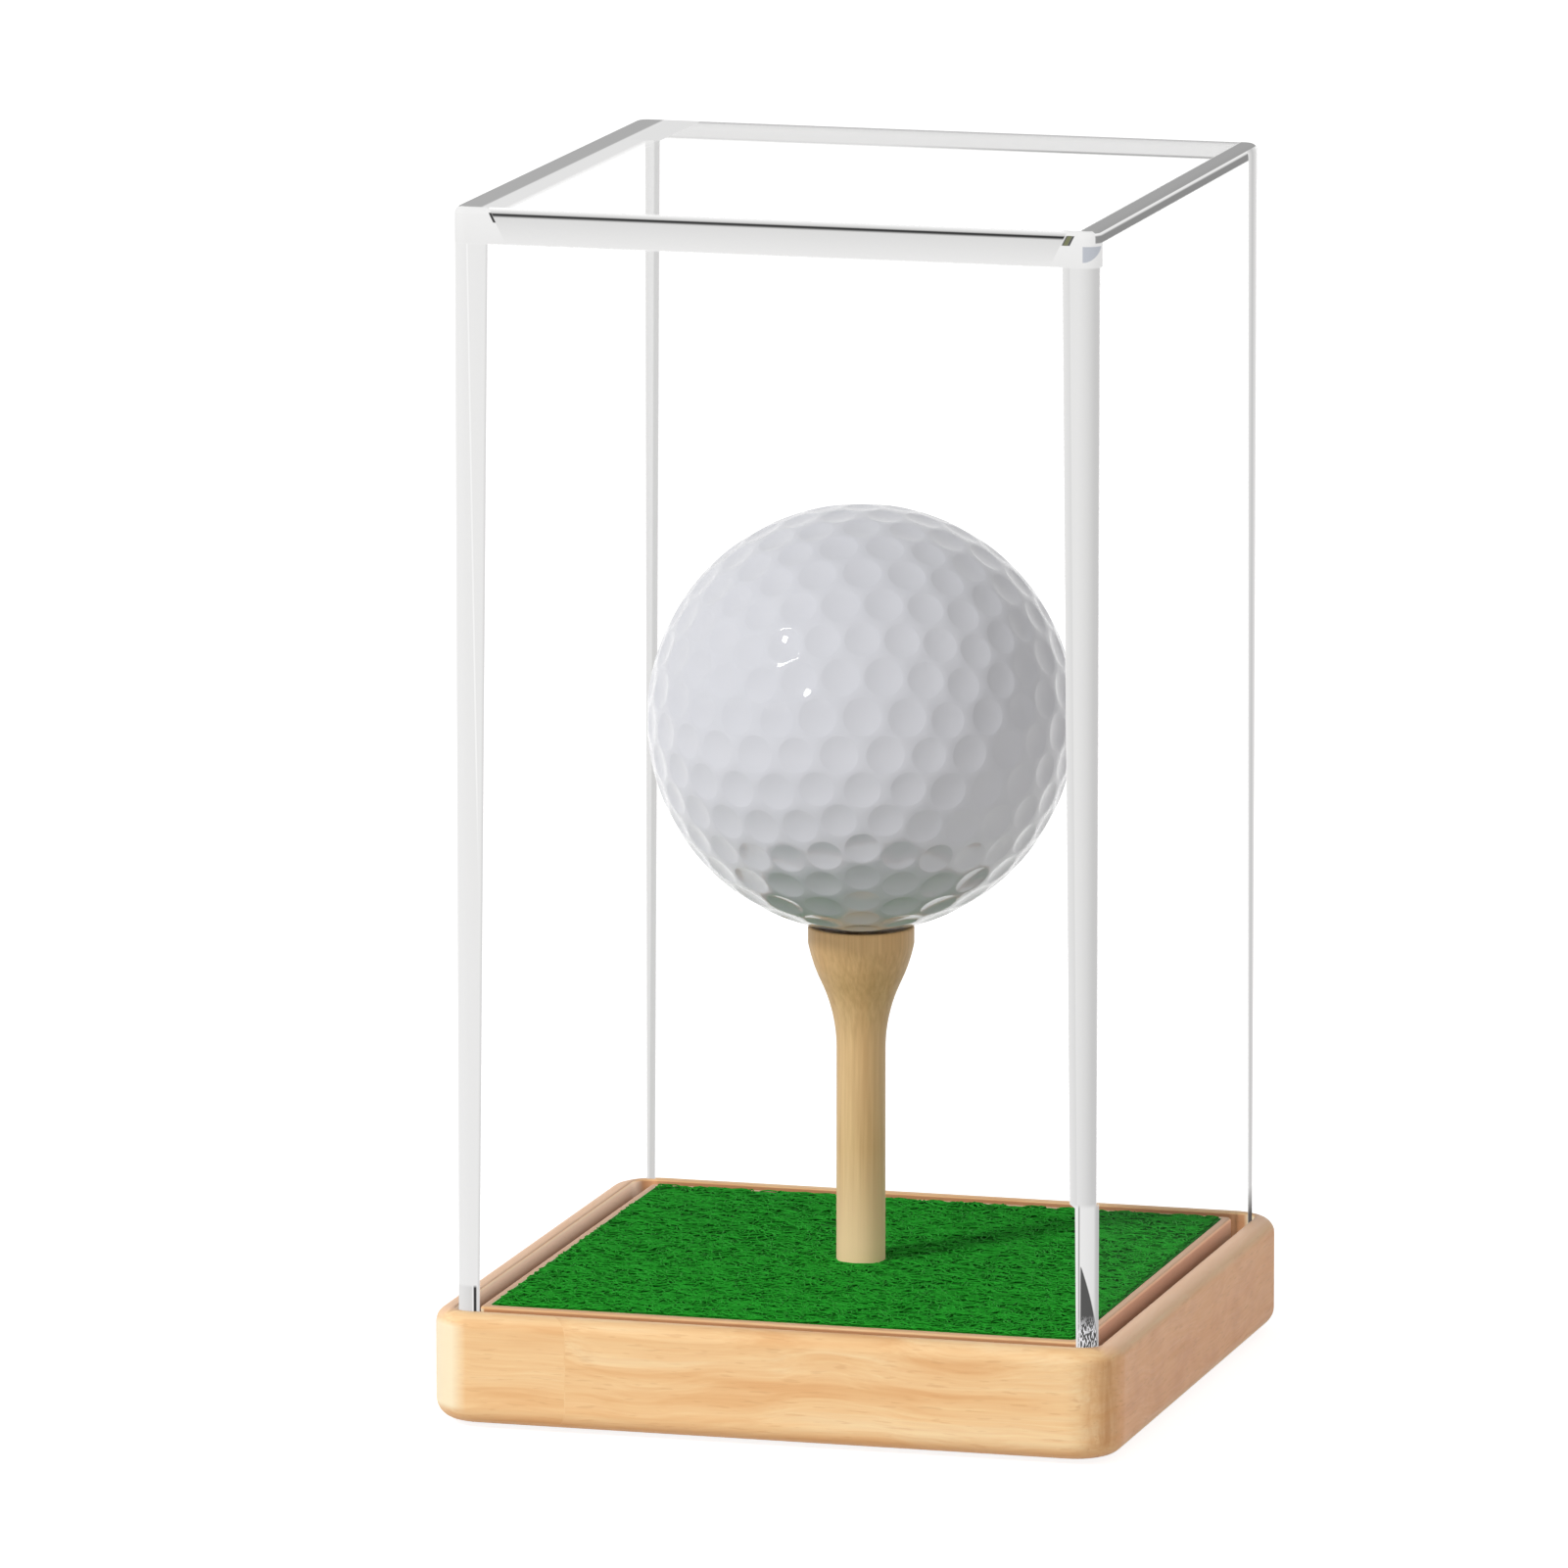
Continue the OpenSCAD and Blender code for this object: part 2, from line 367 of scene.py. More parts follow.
def makeWoodBase(setup, material):
    low, high = span("wood_base")
    steps = setup["cornerSteps"]
    half, bottom, top = high.x, low.z, high.z
    groove = half - setup["rim"]
    pocketZ = span("turf_tape")[0].z
    holeZ = span("tee")[0].z - setup["holeBelowTee"]
    inner, worn = setup["rimInnerEdge"], setup["plateauEdge"]
    rows = roundEdge(half - setup["bottomEdge"], setup["corner"] - setup["bottomEdge"],
                     bottom + setup["bottomEdge"], setup["bottomEdge"], -90, 0, 8)
    rows += roundEdge(half - setup["topEdge"], setup["corner"] - setup["topEdge"],
                      top - setup["topEdge"], setup["topEdge"], 0, 90, 8)
    rows += roundEdge(groove + inner, setup["grooveCorner"] + inner, top - inner, inner, 90, 180, 4)
    rows += [(groove, setup["grooveCorner"], top - setup["grooveDepth"])]
    rows += [(setup["plateauHalf"], setup["plateauCorner"], top - setup["grooveDepth"])]
    rows += roundEdge(setup["plateauHalf"] - worn, setup["plateauCorner"] - worn,
                      top - worn, worn, 0, 90, 5)
    rows += [(setup["pocketHalf"], setup["pocketCorner"], z) for z in (top, pocketZ)]
    bm = bmesh.new()
    loops = [roundSquare(bm, *row, steps) for row in rows]
    loops += [circleLoop(bm, setup["teeHole"], z, 4 * (steps + 1)) for z in (pocketZ, holeZ)]
    bridge(bm, loops)
    bmesh.ops.edgenet_fill(bm, edges=loops[-1])
    openings = list(loops[0])
    for pad in padNames:
        padLow, padHigh = span(pad)
        at = (padLow + padHigh) / 2
        radius = (padHigh.x - padLow.x) / 2 + setup["padGap"]
        heights = (bottom, bottom + setup["padSunk"])
        recess = [circleLoop(bm, radius, z, padSet["segments"], at) for z in heights]
        bridge(bm, recess)
        bmesh.ops.edgenet_fill(bm, edges=recess[1])
        openings += recess[0]
    bmesh.ops.triangle_fill(bm, edges=openings, normal=(0, 0, -1))
    piece = newPiece("woodBase", bm, "base", material, sharpAngle=50, weighted=True)
    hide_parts("wood_base")


padNames = [f"pad_{end}_{side}" for end in ("front", "back") for side in ("left", "right")]

padSet = {
    "edge": 0.25,           # radius of the edge that it stands on, mm
    "edgeSteps": 5,
    "segments": 40,
}


def makePads(setup, material):
    edge, steps, segments = setup["edge"], setup["edgeSteps"], setup["segments"]
    for name in padNames:
        low, high = span(name)
        middle = (low + high) / 2
        flat = (high.x - low.x) / 2 - edge
        bm = bmesh.new()
        loops = [circleLoop(bm, flat, low.z, segments, middle)]
        for i in range(steps):
            angle = math.radians(-90 + 90 * (i + 1) / steps)
            out, up = edge * math.cos(angle), edge + edge * math.sin(angle)
            loops.append(circleLoop(bm, flat + out, low.z + up, segments, middle))
        loops.append(circleLoop(bm, flat + edge, high.z, segments, middle))
        bridge(bm, loops)
        for loop in (loops[0], loops[-1]):
            bmesh.ops.edgenet_fill(bm, edges=loop)
        piece = newPiece("rubberPad_" + name[4:], bm, "base", material)
        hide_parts(name)


# Turf mat

turfSet = {
    "fibres": 15000,
    "pieces": 4,
    "length": (1.6, 4.2),     # mm
    "radius": 0.085,
    "points": 5,
    "curl": 0.55,             # turn in radians between two points of a fibre
    "jitter": 0.3,            # further turn at each point
    "thinning": 0.55,         # how much thinner a fibre is at its ends
    "depth": 0.42,            # how deep below the top fibres lie
    "crowding": 0.7,          # below 1 puts more of them near the top
    "rise": (0.05, 0.3),      # how high a fibre bows up
    "headroom": 0.1,          # kept free for that below the highest
    "proud": 0.12,            # how far the highest stand above the CAD pile
    "margin": 0.05,           # kept free at the edge of the mat
    "seed": 11,
    "hole": 2.6,              # radius of the hole for the tee
    "corner": 0.5,
    "groundDepth": 0.1,       # how far the ground lies below the top of the CAD pile
}


def makeTurfSlab(setup, material):
    low, high = span("turf_pile")
    top = high.z - setup["groundDepth"]
    bm = bmesh.new()
    loops = [roundSquare(bm, high.x, setup["corner"], z, 6) for z in (low.z, top)]
    loops += [circleLoop(bm, setup["hole"], z, 28) for z in (top, low.z)]
    bridge(bm, loops + loops[:1])
    piece = newPiece("turfGround", bm, "base", material)
    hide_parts("turf_pile")


def makeFibres(setup, material):
    # Short fibres lie in every direction, one over the other, and turn back at the edges of the mat.
    high = span("turf_pile")[1]
    limit = high.x - setup["radius"] - setup["margin"]
    dice = random.Random(setup["seed"])
    for number in range(setup["pieces"]):
        curve = bpy.data.curves.new("fibres", "CURVE")
        curve.dimensions = "3D"
        curve.bevel_depth = setup["radius"] * mm
        curve.bevel_resolution = 0
        curve.use_fill_caps = True
        for _ in range(setup["fibres"] // setup["pieces"]):
            addFibre(curve, setup, dice, limit, high.z)
        strands = bpy.data.objects.new("strands", curve)
        bpy.context.scene.collection.objects.link(strands)
        shaped = strands.evaluated_get(bpy.context.evaluated_depsgraph_get())
        mesh = bpy.data.meshes.new_from_object(shaped)
        mesh.name = f"turfFibres_{number + 1}"
        bpy.data.objects.remove(strands)
        bpy.data.curves.remove(curve)
        for polygon in mesh.polygons:
            polygon.use_smooth = True
        finishPiece(bpy.data.objects.new(mesh.name, mesh), "base", material)


def addFibre(curve, setup, dice, limit, topZ):
    count = setup["points"]
    step = dice.uniform(*setup["length"]) / (count - 1)
    x, y = dice.uniform(-limit, limit), dice.uniform(-limit, limit)
    heading = dice.uniform(0, 2 * math.pi)
    bend = dice.gauss(0, setup["curl"])
    lifted = dice.random() ** setup["crowding"]
    z = topZ - setup["depth"] + lifted * (setup["depth"] + setup["proud"] - setup["headroom"])
    rise = dice.uniform(*setup["rise"])
    spline = curve.splines.new("POLY")
    spline.points.add(count - 1)
    for i, point in enumerate(spline.points):
        share = i / (count - 1)
        arch = min(rise * math.sin(math.pi * share), topZ + setup["proud"] - z)
        px, py = foldBack(x, limit), foldBack(y, limit)
        reach = math.hypot(px, py)
        if reach < setup["hole"]:                     # it turns aside for the tee
            px, py = px * setup["hole"] / max(reach, 0.1), py * setup["hole"] / max(reach, 0.1)
        point.co = (px * mm, py * mm, (z + arch) * mm, 1)
        point.radius = 1 - setup["thinning"] * abs(2 * share - 1) ** 3
        heading += bend + dice.gauss(0, setup["jitter"])
        x += step * math.cos(heading)
        y += step * math.sin(heading)


def foldBack(value, limit):
    # A fibre that reaches the edge of the mat turns back by as much as it would stick out.
    if abs(value) > limit:
        return math.copysign(2 * limit - abs(value), value)
    return value


# Tee

teeSet = {
    "shaft": 4.9,             # diameter, mm
    "headBand": 1.7,
    "cupLip": 0.45,
    "cupDepth": 1.3,
    "throatRadius": 15.7,
    "flareAngle": 25.6,       # degrees from upright
    "shoulderAngle": 11,
    "chamfer": 0.5,
    "segments": 64,
}


def arcPoints(x, z, radius, fromAngle, toAngle, steps):
    points = []
    for i in range(steps + 1):
        angle = math.radians(fromAngle + (toAngle - fromAngle) * i / steps)
        points.append((x + radius * math.cos(angle), z + radius * math.sin(angle)))
    return points


def makeTee(setup, material):
    low, high = span("tee")
    foot, top, head = low.z, high.z, high.x
    shaft = setup["shaft"] / 2
    flare, shoulder = math.radians(setup["flareAngle"]), math.radians(setup["shoulderAngle"])
    band = top - setup["headBand"]
    throat = setup["throatRadius"]
    bow = (head - shaft - throat * (1 - math.cos(flare))) / (math.cos(shoulder) - math.cos(flare))
    bowFoot = band - bow * (math.sin(flare) - math.sin(shoulder))
    throatZ = bowFoot - throat * math.sin(flare)
    lip = setup["cupLip"] / 2
    cup = head - setup["cupLip"]
    cupBall = (cup ** 2 + setup["cupDepth"] ** 2) / (2 * setup["cupDepth"])
    cupZ = top - setup["cupDepth"] + cupBall
    cupTurn = math.degrees(math.asin(cup / cupBall))
    chamfer = setup["chamfer"]
    points = [(0, foot)] + arcPoints(shaft - chamfer, foot + chamfer, chamfer, -90, 0, 4)
    points += arcPoints(shaft + throat, throatZ, throat, 180, 180 - setup["flareAngle"], 12)
    points += arcPoints(head - bow * math.cos(shoulder), bowFoot + bow * math.sin(flare), bow,
                        -setup["flareAngle"], -setup["shoulderAngle"], 8)
    points += arcPoints(head - lip, top - lip, lip, 0, 180, 10)
    points += arcPoints(0, cupZ, cupBall, cupTurn - 90, -90, 10)[1:]
    bm = bmesh.new()
    verts = [bm.verts.new((x * mm, 0, z * mm)) for x, z in points]
    edges = [bm.edges.new(pair) for pair in zip(verts, verts[1:])]
    bmesh.ops.spin(bm, geom=verts + edges, cent=(0, 0, 0), axis=(0, 0, 1), angle=2 * math.pi,
                   steps=setup["segments"], use_merge=True)
    piece = newPiece("woodTee", bm, "base", material, sharpAngle=50)
    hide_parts("tee")


# Ball

ballSet = {
    "dimple": 3.9,            # diameter of the largest dimples, mm
    "depth": 0.25,            # below the round surface
    "land": 0.3,              # least width between two dimples
    "rows": 6,                # dimples along an edge of the icosahedron
    "tilt": 58.7,             # degrees
    "turn": -74.4,
    "segments": 26,
    "softRim": 0.1,           # width of the rounding at a dimple's rim
    "softShare": 0.7,         # how much of the bowl's depth there the rounding has
    "rings": 5,
    "middle": 0.35,           # what is left inside the last ring, in rings
}


def dimplePlaces(rows):
    # The corners, edge points and face points of an icosahedron laid out on a unit ball.
    golden = (1 + math.sqrt(5)) / 2
    bm = bmesh.new()
    for a in (-1, 1):
        for b in (-golden, golden):
            for corner in ((0, a, b), (a, b, 0), (b, 0, a)):
                bm.verts.new(corner)
    bmesh.ops.convex_hull(bm, input=bm.verts)
    step = 2 * math.asin(1 / Vector((0, 1, golden)).length) / rows

    def between(*shares):
        return sum((math.sin(n * step) * vert.co for vert, n in shares), Vector()).normalized()

    places = [vert.co.normalized() for vert in bm.verts]
    for edge in bm.edges:
        a, b = edge.verts
        places += [between((a, i), (b, rows - i)) for i in range(1, rows)]
    for face in bm.faces:
        a, b, c = face.verts
        places += [
            between((a, i), (b, j), (c, rows - i - j))
            for i in range(1, rows - 1) for j in range(1, rows - i)
        ]
    bm.free()
    return places


def makeBall(setup, material):
    low, high = span("ball_skin")
    radius = (high.z - low.z) / 2
    middle = (low + high) / 2
    places = dimplePlaces(setup["rows"])
    tilt = Matrix.Rotation(math.radians(setup["tilt"]), 4, "Y")
    spin = Matrix.Rotation(math.radians(setup["turn"]), 4, "Z") @ tilt
    centre = Matrix.Translation(middle * mm)
    bm = bmesh.new()
    widest = setup["dimple"]
    rims = []
    for place in places:
        nearest = min((place - other).length for other in places if other is not place) * radius
        rim = min(widest, nearest - setup["land"]) / 2
        rims.append(rim)
        upright = place.to_track_quat("Z", "Y").to_matrix().to_4x4()
        out = Matrix.Translation((0, 0, math.sqrt(radius ** 2 - rim ** 2) * mm))
        turned = centre @ spin @ upright @ out
        bmesh.ops.create_circle(bm, segments=setup["segments"], radius=rim * mm, matrix=turned)
    bm.verts.index_update()
    owner = {vert: vert.index // setup["segments"] for vert in bm.verts}
    # The hull of all the rims gives the land between them, and a lid over each dimple.
    bmesh.ops.convex_hull(bm, input=bm.verts)
    lids = [face for face in bm.faces if len({owner[vert] for vert in face.verts}) == 1]
    lids = bmesh.ops.dissolve_faces(bm, faces=lids)["region"]
    print("dimples:", len(lids), "of", len(places), "radius from", round(min(rims), 2))
    rim = widest / 2
    sag = setup["depth"] - (radius - math.sqrt(radius ** 2 - rim ** 2))
    soft = setup["softRim"]
    steps = [soft] + [(min(rims) - soft) / (setup["rings"] + setup["middle"])] * setup["rings"]
    into, deep = 0, 0
    for step in steps:
        into += step
        share = 1 - ((rim - into) / rim) ** 2
        below = sag * share * (setup["softShare"] if into == soft else 1)
        bmesh.ops.inset_individual(
            bm, faces=lids, thickness=step * mm, depth=-(below - deep) * mm, use_even_offset=True,
        )
        deep = below
    bmesh.ops.poke(bm, faces=lids)
    piece = newPiece("golfBall", bm, "ball", material, sharpAngle=80)
    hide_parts("ball_skin")


# Clear cover

coverSet = {
    "corner": 1.5,
    "topEdge": 0.8,
    "innerEdge": 0.9,
    "wallOpen": 1.65,
    "draft": 0.65,            # degrees
    "top": 3,
    "lift": 0.02,             # keeps the open end just clear of the groove's floor
    "footEdge": 0.15,
    "cornerSteps": 10,
}


def makeCover(setup, material):
    low, high = span("clear_cover")
    half, foot, top = high.x, low.z + setup["lift"], high.z
    ceiling = top - setup["top"]
    inner = setup["innerEdge"]
    openHalf = half - setup["wallOpen"]

    def innerHalf(z):
        return openHalf - (z - low.z) * math.tan(math.radians(setup["draft"]))

    bend = ceiling - inner
    rows = roundEdge(innerHalf(bend) - inner, 0, bend, inner, 90, 0, 8)
    rows += [(innerHalf(foot), inner, foot)]
    edge = setup["footEdge"]
    rows += [(half - edge, setup["corner"] - edge, foot), (half, setup["corner"], foot + edge)]
    rows += roundEdge(half - setup["topEdge"], setup["corner"] - setup["topEdge"],
                      top - setup["topEdge"], setup["topEdge"], 0, 90, 8)
    bm = bmesh.new()
    loops = [roundSquare(bm, *row, setup["cornerSteps"]) for row in rows]
    bridge(bm, loops)
    for loop in (loops[0], loops[-1]):
        bmesh.ops.edgenet_fill(bm, edges=loop)
    piece = newPiece("clearCover", bm, "cover", material, sharpAngle=30, weighted=True)
    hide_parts("clear_cover")


# Materials

def makeGrainGroup():
    # Wood drawn out along one axis: broad wavy figure, fine streaks and short flecks, each from 0 to 1.
    group, source, result = newGroup(
        "woodGrain",
        [("Place", "Vector", None), ("Waviness", "Float", 1.0)],
        [("Figure", "Float"), ("Streaks", "Float"), ("Flecks", "Float")],
    )
    place = source["Place"]
    sway = addNoise(group, stretched(group, place, (40, 90, 90)), 1.0, 2.0)
    swayed = group.nodes.new("ShaderNodeVectorMath")
    swayed.operation = "ADD"
    offset = group.nodes.new("ShaderNodeCombineXYZ")
    reach = times(group, source["Waviness"], 0.006)
    lift = times(group, addMath(group, "SUBTRACT", sway, 0.5), reach)
    group.links.new(lift, offset.inputs[1])
    group.links.new(lift, offset.inputs[2])
    group.links.new(place, swayed.inputs[0])
    group.links.new(offset.outputs[0], swayed.inputs[1])
    moved = swayed.outputs[0]
    figure = addNoise(group, stretched(group, moved, (22, 420, 520)), 1.0, 3.0, 0.55)
    streaks = addNoise(group, stretched(group, moved, (90, 2600, 3200)), 1.0, 2.0, 0.6)
    flecks = addNoise(group, stretched(group, place, (420, 3600, 3600), (3, 1, 7)), 1.0, 1.0, 0.5)
    group.links.new(addRange(group, figure, 0.3, 0.7), result["Figure"])
    group.links.new(addRange(group, streaks, 0.3, 0.7), result["Streaks"])
    group.links.new(addRange(group, flecks, 0.62, 0.72), result["Flecks"])
    return group


grainGroup = makeGrainGroup()


def objectPlace(tree):
    return tree.nodes.new("ShaderNodeTexCoord").outputs["Object"]


def objectAxes(tree):
    node = tree.nodes.new("ShaderNodeSeparateXYZ")
    tree.links.new(objectPlace(tree), node.inputs[0])
    return node.outputs


def aroundBlock(tree, block, seam):
    # The run of the grain: along each side of the block, round its corners and along its rim.
    x, y, z = objectAxes(tree)
    run = tree.nodes.new("ShaderNodeCombineXYZ")
    out = addMath(tree, "MAXIMUM", addMath(tree, "ABSOLUTE", x), addMath(tree, "ABSOLUTE", y))
    along = addMath(tree, "ADD", x, y)
    # Past the seam it is another piece of wood.
    stave = addRange(tree, along, seam * mm, (seam + 0.1) * mm, 0.0, 0.012)
    for socket, value in zip(run.inputs, (along, addMath(tree, "ADD", out, stave), z)):
        setSocket(tree, socket, value)
    # The underside is sawn from the same board, so there the grain runs straight.
    under = addRange(tree, z, (block.z + 0.5) * mm, (block.z + 0.2) * mm)
    mix = tree.nodes.new("ShaderNodeMix")
    mix.data_type = "VECTOR"
    tree.links.new(under, mix.inputs[0])
    tree.links.new(run.outputs[0], mix.inputs[4])
    tree.links.new(objectPlace(tree), mix.inputs[5])
    return mix.outputs[1], (x, y, z)


beechSet = {
    "figure": [
        (0.0, srgb(237, 187, 132)), (0.3, srgb(246, 203, 149)),
        (0.65, srgb(252, 215, 163)), (1.0, srgb(254, 225, 178)),
    ],
    "streak": srgb(228, 170, 116),
    "fleck": srgb(208, 152, 102),
    "seam": -55.6,                        # mm along the run of the grain, where two staves meet
    "ends": srgb(255, 190, 140),          # what the two ends of the block lean to
    "endBlotch": srgb(232, 160, 118),
    "rimTop": srgb(246, 203, 170),
    "corner": srgb(255, 240, 206),        # painted highlight: the palest colour, on the rounded corners on the left
    "turned": srgb(208, 138, 84),         # the figure that turns upright on the right
    # painted shade at the bottom of the groove
    "grooveShade": srgb(176, 116, 86),
    # Painted shade on the walls of the groove: one colour on the left and right walls, one at the front and
    # back.
    "grooveSide": srgb(196, 160, 138),
    "grooveFront": srgb(206, 146, 104),
    # Painted light: a glow on the groove's walls on the left and on the right, for light that the cover
    # leads into the groove.
    "paintedGrooveLight": ((0.43, 0.35, 0.27, 1), (0.27, 0.14, 0.095, 1)),
    "plateau": srgb(206, 162, 128),
    "bottom": srgb(244, 178, 116),
}


def makeBeech(setup):
    material, tree, shader = newMaterial("beech")
    low, high = span("wood_base")
    run, (x, y, z) = aroundBlock(tree, low, setup["seam"])
    grain = useGroup(tree, grainGroup, Place=run)
    colour = addRamp(tree, grain["Figure"], setup["figure"])
    normal = tree.nodes.new("ShaderNodeSeparateXYZ")
    tree.links.new(tree.nodes.new("ShaderNodeTexCoord").outputs["Normal"], normal.inputs[0])
    toSide, _, upward = normal.outputs
    farX, farY, sideways, level = (addMath(tree, "ABSOLUTE", value) for value in (x, y, toSide, upward))
    upright = addRange(tree, level, 0.5, 0.1)
    onEnds = addRange(tree, addMath(tree, "SUBTRACT", farX, farY), 0, mm)
    # The two ends of the block lean to a redder colour, and the top of their rim to a paler pink one.
    ends = addRange(tree, sideways, 0.8, 0.99, 0.0, 0.8)
    blotch = stretched(tree, run, (130, 300, 260), turn=(math.radians(35), 0, 0))
    blotch = addRange(tree, addNoise(tree, blotch, 1.0, 3.0, 0.6), 0.45, 0.75, 0.0, 0.8)
    colour = addMix(tree, ends, colour, addMix(tree, blotch, setup["ends"], setup["endBlotch"]))
    # Painted highlight: the rounded corners on the left are the palest.
    pale = times(tree, addRange(tree, toSide, -0.14, -0.46), addRange(tree, toSide, -0.995, -0.9))
    pale = times(tree, pale, upright, 0.92)
    # The figure turns upright round the corners on the right.
    turned = addNoise(tree, stretched(tree, run, (520, 300, 110), (0.4, 0, 0)), 1.0, 3.0, 0.6, 0.6)
    corner = times(tree, addRange(tree, toSide, 0.3, 0.65), addRange(tree, toSide, 0.97, 0.8), upright)
    turned = times(tree, addRange(tree, turned, 0.38, 0.64, 0.2, 0.75), corner)
    colour = addMix(tree, turned, colour, setup["turned"])
    # Painted shade: the bottom of the groove is coloured darker and redder, as less light reaches it.
    groove = addRange(tree, z, (high.z - 1.2) * mm, (high.z - 3.4) * mm)
    inward = addMath(tree, "MAXIMUM", farX, farY)
    inward = addRange(tree, inward, (high.x - 1.8) * mm, (high.x - 2.2) * mm)
    colour = addMix(tree, times(tree, groove, inward, 0.8), colour, setup["grooveShade"])
    colour = addMix(tree, times(tree, grain["Streaks"], 0.3), colour, setup["streak"])
    colour = addMix(tree, times(tree, grain["Flecks"], 0.25), colour, setup["fleck"])
    tops = times(tree, addRange(tree, upward, 0.3, 0.95, 0.0, 0.85), onEnds)
    colour = addMix(tree, tops, colour, setup["rimTop"])
    plateau = times(tree, addRange(tree, upward, 0.5, 0.9, 0.0, 0.7), inward)
    colour = addMix(tree, plateau, colour, setup["plateau"])
    # Painted shade on the upright walls inside the rim, with one colour on the left and right and one at the
    # front and back.
    walls = addMix(tree, addRange(tree, sideways, 0.5, 0.8), setup["grooveFront"], setup["grooveSide"])
    colour = addMix(tree, times(tree, upright, inward, 0.8), colour, walls)
    colour = addMix(tree, pale, colour, setup["corner"])
    # Painted shade: the faces that look down lean to a darker, more orange colour.
    colour = addMix(tree, addRange(tree, upward, -0.2, -0.9, 0.0, 0.5), colour, setup["bottom"])
    tree.links.new(colour, shader.inputs["Base Color"])
    # Painted light: the inner walls near the top of the groove on the left and right glow by emission.
    paintedGrooveLight = times(tree, addRange(tree, z, (high.z - 1.8) * mm, (high.z - 0.25) * mm), inward)
    paintedGrooveLight = times(tree, paintedGrooveLight, addRange(tree, toSide, 0.6, 0.95))
    glow = addMix(tree, addRange(tree, x, -mm, mm), *setup["paintedGrooveLight"])
    tree.links.new(glow, shader.inputs["Emission Color"])
    tree.links.new(paintedGrooveLight, shader.inputs["Emission Strength"])
    tree.links.new(addRange(tree, grain["Streaks"], 0.0, 1.0, 0.42, 0.54), shader.inputs["Roughness"])
    shader.inputs["Specular IOR Level"].default_value = 0.22
    shader.inputs["Coat Weight"].default_value = 0.05
    shader.inputs["Coat Roughness"].default_value = 0.3
    tree.links.new(addBump(tree, grain["Streaks"], 0.15, 0.05), shader.inputs["Normal"])
    return material


teeWoodSet = {
    "figure": [(0.0, srgb(216, 178, 126)), (1.0, srgb(237, 206, 155))],
    "streak": srgb(188, 146, 98),
    "paintedHeadShade": (srgb(206, 166, 112), srgb(184, 144, 92)),
    "foot": srgb(255, 222, 178),
}


def makeTeeWood(setup):
    material, tree, shader = newMaterial("teeWood")
    top, mat = (span(name)[1].z for name in ("tee", "turf_pile"))
    upright = stretched(tree, objectPlace(tree), (1, 1, 1), turn=(0, math.radians(90), 0))
    grain = useGroup(tree, grainGroup, Place=upright, Waviness=0.1)
    height = objectAxes(tree)[2]
    colour = addRamp(tree, grain["Figure"], setup["figure"])
    colour = addMix(tree, times(tree, grain["Streaks"], 0.4), colour, setup["streak"])
    # Painted shade darkens the head under the ball, and painted light makes the wood palest just above the
    # mat.
    paintedHeadShade = addRange(tree, height, (top - 16) * mm, (top - 2) * mm, 0.0, 0.6)
    colour = addMix(tree, paintedHeadShade, colour, addMix(tree, grain["Streaks"], *setup["paintedHeadShade"]))
    foot = addRange(tree, height, (mat + 12) * mm, (mat + 2) * mm, 0.0, 0.85)
    colour = addMix(tree, foot, colour, setup["foot"])
    tree.links.new(colour, shader.inputs["Base Color"])
    shader.inputs["Roughness"].default_value = 0.5
    tree.links.new(addBump(tree, grain["Streaks"], 0.3, 0.04), shader.inputs["Normal"])
    return material


pileSet = {
    "depth": [(0.0, srgb(2, 42, 4)), (0.5, srgb(6, 95, 10)), (1.0, srgb(46, 166, 52))],
    "tuft": srgb(5, 94, 10),
    "patch": srgb(28, 150, 32),
    "paintedFrontLight": srgb(38, 166, 42),
}


def makeTurf(setup):
    material, tree, shader = newMaterial("turfPile")
    place = objectPlace(tree)
    top = span("turf_pile")[1].z
    _, y, z = objectAxes(tree)
    # Painted shade: the pile is darker the deeper it lies below its top.
    deep = addRange(tree, z, (top - 0.3) * mm, (top + 0.08) * mm)
    tuft = addRange(tree, addNoise(tree, place, 900, 2.0), 0.3, 0.7)
    patch = addRange(tree, addNoise(tree, place, 130, 2.0), 0.3, 0.7)
    colour = addRamp(tree, deep, setup["depth"])
    colour = addMix(tree, times(tree, tuft, 0.5), colour, setup["tuft"])
    colour = addMix(tree, times(tree, patch, 0.25), colour, setup["patch"])
    # Painted light: the pile is lighter towards the front.
    paintedFrontLight = addRange(tree, y, 24 * mm, -32 * mm, 0.0, 0.32)
    colour = addMix(tree, paintedFrontLight, colour, setup["paintedFrontLight"])
    tree.links.new(colour, shader.inputs["Base Color"])
    shader.inputs["Roughness"].default_value = 0.75
    shader.inputs["Specular IOR Level"].default_value = 0.12
    return material


def makeBallWhite():
    material, tree, shader = newMaterial("ballWhite")
    cloud = addRange(tree, addNoise(tree, objectPlace(tree), 60, 3.0), 0.3, 0.7)
    colour = addMix(tree, times(tree, cloud, 0.5), srgb(208, 210, 217), srgb(203, 205, 213))
    tree.links.new(colour, shader.inputs["Base Color"])
    # The white itself is dull, and a sharp clear coat over it gives the glints.
    shader.inputs["Roughness"].default_value = 0.28
    shader.inputs["Specular IOR Level"].default_value = 0.1
    shader.inputs["Coat Weight"].default_value = 0.9
    shader.inputs["Coat Roughness"].default_value = 0.02
    return material
